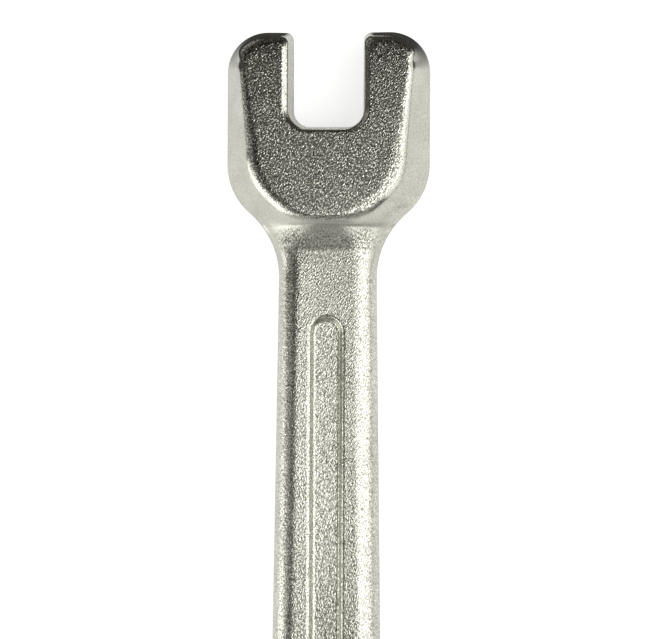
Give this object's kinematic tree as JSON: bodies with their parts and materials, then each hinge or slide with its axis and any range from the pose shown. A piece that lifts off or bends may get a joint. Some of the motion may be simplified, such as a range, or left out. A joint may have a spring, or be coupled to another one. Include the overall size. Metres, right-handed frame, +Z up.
{
  "type": "lineman's wrench",
  "caption": "Flat forged lineman's wrench with an open jaw at each end, thick rounded heads and a long recessed handle.",
  "frame": {"origin": "middle of the wrench's length and width, on the plane of the two lower pads that it lies on", "axes": "+Y along the handle towards the smaller jaw's tips, +Z up out of the upper pads, +X across"},
  "size_m": [0.0702, 0.346, 0.021],
  "materials": {
    "plated_steel": "bright plating over a shot-blasted drop forging: fine sparkling grain on the faces, smoother on the drafted walls"
  },
  "bodies": {
    "root": {"forged_body": "plated_steel"}
  },
  "joints": []
}
